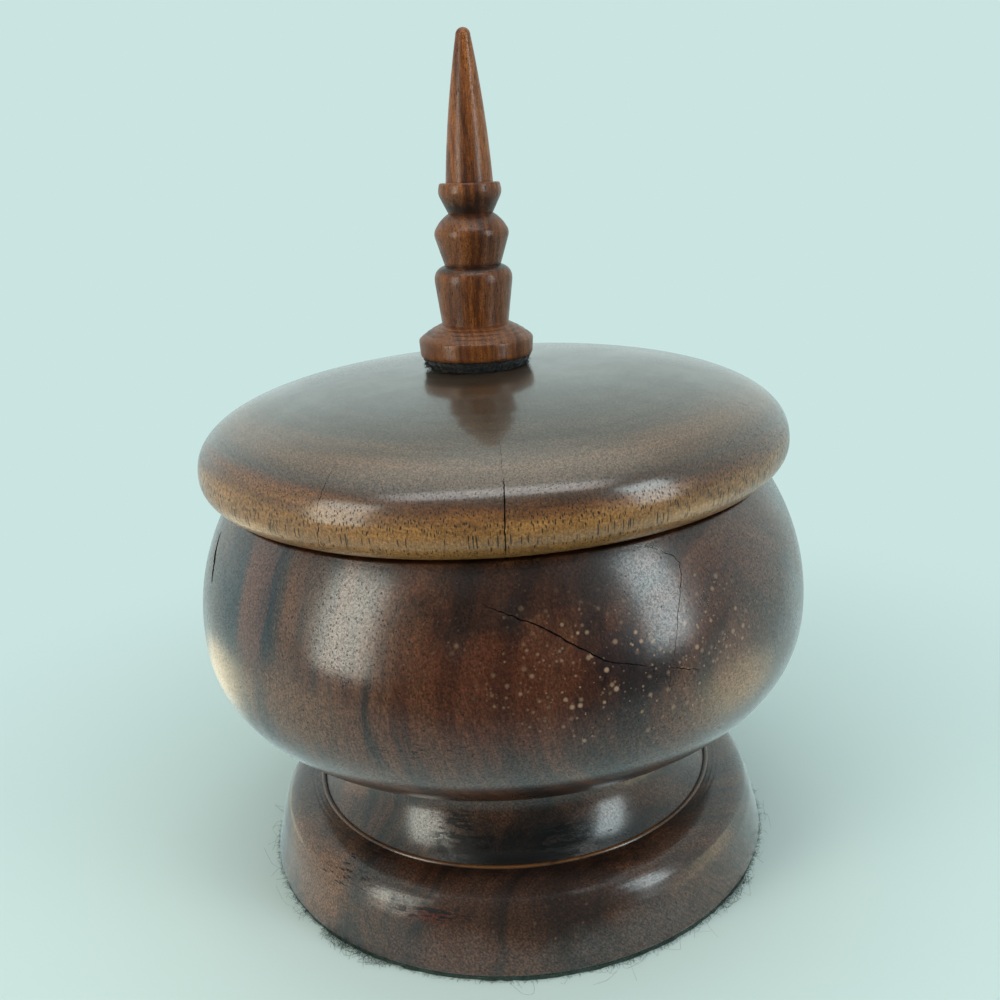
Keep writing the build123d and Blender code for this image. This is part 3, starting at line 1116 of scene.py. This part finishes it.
def make_washer():
    top_radius = 13.8 * mm
    bottom_radius = 11.8 * mm
    outline = disc_outline(bottom_radius, top_radius, 0.0, washer_thickness, 0.4 * mm)
    disc = paint(turn("washer_disc", outline, 0.7 * mm), "washer")
    for vertex in disc.data.vertices:
        place = vertex.co
        radius = math.hypot(place.x, place.y)
        if radius > bottom_radius * 0.9:
            swell = 0.35 * mm * noise.noise(place * 900.0) + 0.25 * mm * noise.noise(place * 2600.0)
            place.x += place.x / radius * swell
            place.y += place.y / radius * swell
    disc.data.transform(finial_place)
    for vertex in disc.data.vertices:
        vertex.co.z = max(vertex.co.z, lid_top_z + 0.02 * mm)
    fuzz = fibres(
        "washer_fuzz", materials["washer"], finial_place, Count=1500, Seed=5, Ring_Radius=12.4 * mm, Low=0.1 * mm,
        High=washer_thickness * 0.8, Length=1.3 * mm, Thickness=0.03 * mm, Curl=0.7, Floor=0.1 * mm,
    )
    piece = joined("finial_washer_felt", [disc, fuzz])
    return finished(smooth(piece, 60), "lid_assembly", "finial_washer")


def make_base_felt():
    radius = felt_high.x
    outline = disc_outline(radius, radius, felt_low.z, felt_high.z, 0.3 * mm)
    disc = paint(turn("baize_disc", outline, 3.0 * mm), "baize")
    for vertex in disc.data.vertices:
        place = vertex.co
        if math.hypot(place.x, place.y) > radius * 0.98:
            swell = 1.0 + 0.006 * noise.noise(place * 500.0)
            place.x *= swell
            place.y *= swell
    layers = [
        dict(Count=3000, Seed=2, Length=1.2 * mm, Thickness=0.03 * mm, Curl=0.5),
        dict(Count=260, Seed=21, Length=2.8 * mm, Thickness=0.022 * mm, Curl=1.0),
        dict(Count=30, Seed=31, Length=5.5 * mm, Thickness=0.022 * mm, Curl=1.8),
        dict(Count=200, Seed=41, Length=2.8 * mm, Thickness=0.024 * mm, Curl=1.1, Start_Angle=3.9, End_Angle=4.2),
        dict(Count=110, Seed=51, Length=2.4 * mm, Thickness=0.024 * mm, Curl=1.1, Start_Angle=5.48, End_Angle=5.7),
    ]
    parts = [disc]
    for index, layer in enumerate(layers):
        parts.append(fibres(
            f"baize_fuzz_{index}", materials["baize"], Ring_Radius=radius, Low=0.1 * mm, High=1.3 * mm,
            Floor=0.04 * mm, **layer,
        ))
    piece = joined("green_base_felt", parts)
    return finished(smooth(piece, 60), "base", "base_felt")


make_base_felt()
make_foot()
make_bowl()
make_lid()
make_washer()
make_finial()


# Stage, light and camera

backdrop_colour = colour(202, 228, 226)


def make_floor():
    """A pale floor that keeps the box's shadow and fades into the backdrop further out."""
    mesh = bpy.data.meshes.new("floor")
    reach = 3.0
    corners = [(-reach, -reach, 0.0), (reach, -reach, 0.0), (reach, reach, 0.0), (-reach, reach, 0.0)]
    mesh.from_pydata(corners, [], [(0, 1, 2, 3)])
    floor = new_object("floor", mesh)
    material, shader, place = start_material("floor_paint")
    feed(shader["Base Color"], colour(212, 228, 225))
    feed(shader["Roughness"], 0.7)
    tree = material.node_tree
    rays = tree.nodes.new("ShaderNodeLightPath").outputs
    far = result(tree, "ShaderNodeEmission", {"Color": backdrop_colour})
    faded = ease(vector_math("LENGTH", place), 0.07, 0.27) * Value(rays["Is Camera Ray"])
    seen = mix_shaders(faded, Value(tree.nodes["Principled BSDF"].outputs[0]), far)
    # Gloss sees the backdrop's colour, two pale warm glows and the darker front.
    left_glow = patch(place, (-190, 60, 0), (90, 80, 20), 0.0)
    right_glow = patch(place, (176, -55, 0), (90, 70, 20), 0.0)
    glow = calculate("MAXIMUM", left_glow, right_glow)
    front = ease(separate(place)[1], -0.27, -0.10, 0.06, 1.0)
    mirrored = result(tree, "ShaderNodeEmission", {
        "Color": mix(glow, backdrop_colour, colour(255, 249, 218)), "Strength": front + glow * 0.8,
    })
    feed(tree.nodes["Material Output"].inputs[0], mix_shaders(Value(rays["Is Glossy Ray"]), seen, mirrored))
    mesh.materials.append(material)


def make_world():
    """A pale studio, bright behind the box and darker on the photographer's side."""
    world = bpy.data.worlds.new("studio")
    bpy.context.scene.world = world
    world.use_nodes = True
    tree = world.node_tree
    x, y, z = separate(result(tree, "ShaderNodeTexCoord", {}, "Generated"))
    rays = tree.nodes.new("ShaderNodeLightPath").outputs
    back = ease(y, -0.7, 0.35, 0.08, 0.86)
    above = ease(z, 0.72, 1.0, 0.0, 1.1)
    level = ease(Value(rays["Is Glossy Ray"]), -1.6, 1.0, way="LINEAR")
    background = tree.nodes["Background"]
    feed(background.inputs["Color"], (0.83, 1.0, 0.98, 1.0))
    feed(background.inputs["Strength"], (back + above) * level)
    seen = result(tree, "ShaderNodeBackground", {"Color": backdrop_colour, "Strength": 1.0})
    both = mix_shaders(Value(rays["Is Camera Ray"]), Value(background.outputs[0]), seen)
    feed(tree.nodes["World Output"].inputs[0], both)


def make_light(name, place, size, power, shade, aim=(0.0, 0.0, 0.07)):
    """A rectangular lamp with soft edges, turned towards the box."""
    data = bpy.data.lights.new(name, "AREA")
    data.shape = "RECTANGLE"
    data.size, data.size_y = size
    data.energy = power
    data.color = shade
    data.use_nodes = True
    tree = data.node_tree
    across, up, _ = separate(result(tree, "ShaderNodeNewGeometry", {}, "Parametric"))
    strength = [ease(calculate("ABSOLUTE", share - 0.5), 0.5, 0.28) for share in (across, up)]
    feed(tree.nodes["Emission"].inputs["Strength"], strength[0] * strength[1])
    lamp = new_object(name, data)
    lamp.location = place
    lamp.rotation_euler = (Vector(aim) - Vector(place)).to_track_quat("-Z", "Y").to_euler()


def make_camera():
    data = bpy.data.cameras.new("camera")
    data.lens = camera_lens
    data.sensor_width = 36.0
    data.clip_start = 0.01
    camera = new_object("camera", data)
    level = math.cos(camera_tilt)
    ahead = Vector((math.sin(camera_turn) * level, math.cos(camera_turn) * level, -math.sin(camera_tilt)))
    right = ahead.cross(Vector((0, 0, 1))).normalized()
    above = right.cross(ahead)
    tipped_right = right * math.cos(camera_roll) + above * math.sin(camera_roll)
    tipped_above = above * math.cos(camera_roll) - right * math.sin(camera_roll)
    turned = Matrix((tipped_right, tipped_above, -ahead)).transposed()
    camera.matrix_world = Matrix.Translation(camera_place) @ turned.to_4x4()
    bpy.context.scene.camera = camera


make_floor()
make_world()
make_light("left_window", (-0.537, -0.368, 0.21), (0.31, 0.72), 4.3, (0.98, 1.0, 0.88))
make_light("right_window", (0.517, -0.365, 0.265), (0.23, 0.60), 3.0, (0.84, 0.98, 1.0))
make_light("ceiling", (0.0, -0.31, 0.62), (0.92, 0.20), 2.1, (1.0, 0.96, 0.94))
make_camera()
bpy.context.scene.view_settings.view_transform = "Standard"
